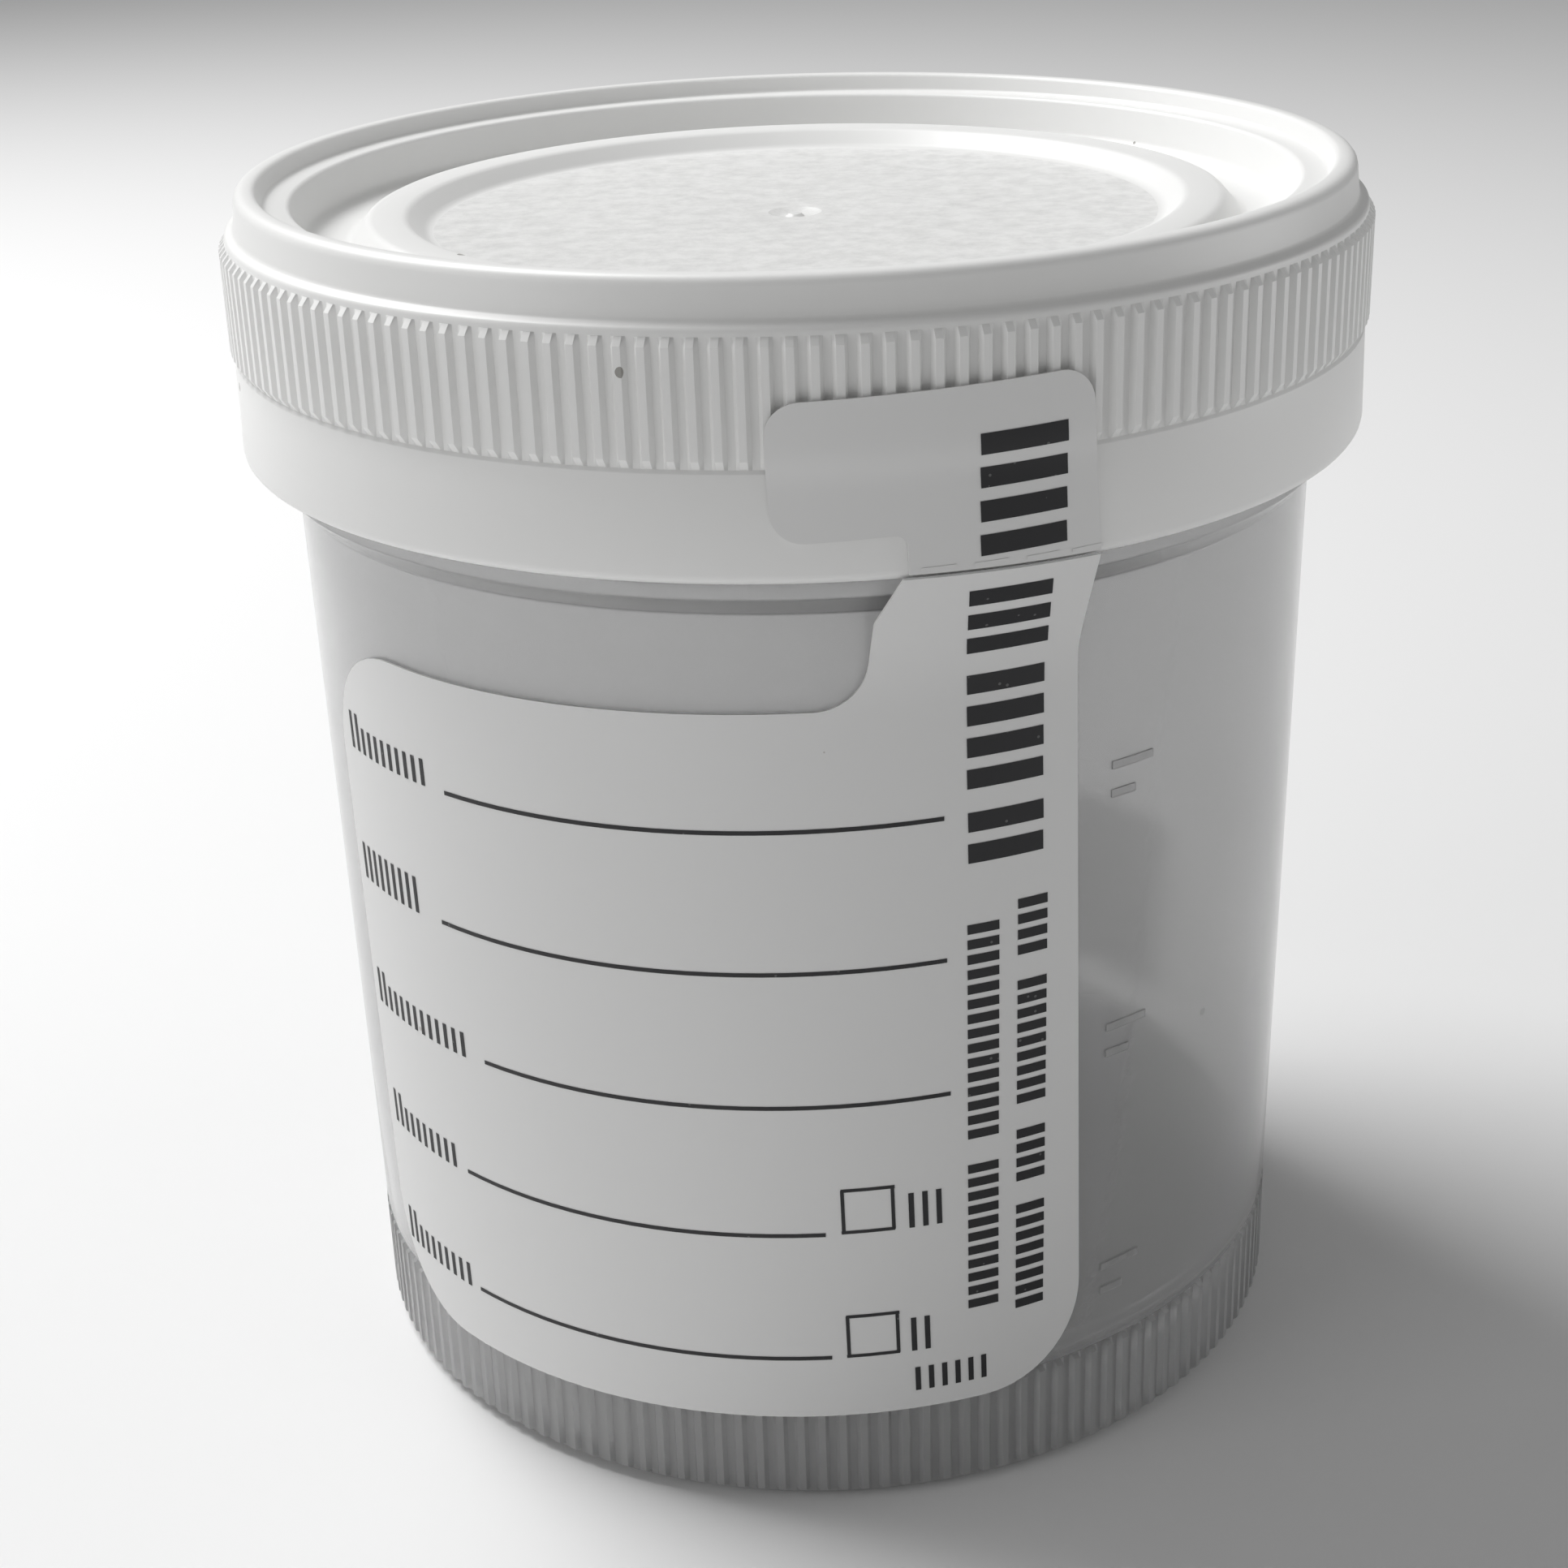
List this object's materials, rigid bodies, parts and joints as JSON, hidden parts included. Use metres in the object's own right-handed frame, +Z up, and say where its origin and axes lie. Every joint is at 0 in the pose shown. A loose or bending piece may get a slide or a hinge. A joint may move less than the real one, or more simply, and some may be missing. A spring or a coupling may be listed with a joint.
{
  "type": "specimen container",
  "caption": "Translucent plastic specimen cup with a ribbed foot, a white ribbed screw lid and a blank-field paper label whose strip seals the lid.",
  "frame": {"origin": "middle of the circle the foot stands on, at the height of the surface under it", "axes": "+Z up the cup's axis, -Y towards the middle of the front, +X to the right as seen from the front"},
  "size_m": [0.064, 0.0642, 0.0705],
  "materials": {
    "milky_plastic": "milky, translucent, satin moulded surface",
    "white_plastic": "opaque white, satin moulded surface",
    "label_paper": "smooth coated label paper",
    "sticker_paper": "smooth coated label paper"
  },
  "bodies": {
    "cup_body": {"cup": "milky_plastic", "label": "label_paper", "back_label": "sticker_paper"},
    "lid_body": {"lid": "white_plastic", "seal_tab": "label_paper"}
  },
  "joints": [
    {"name": "lid_lift", "type": "slide", "parent": "cup_body", "child": "lid_body", "axis": [0, 0, 1], "range_m": [0, 0.05]}
  ]
}
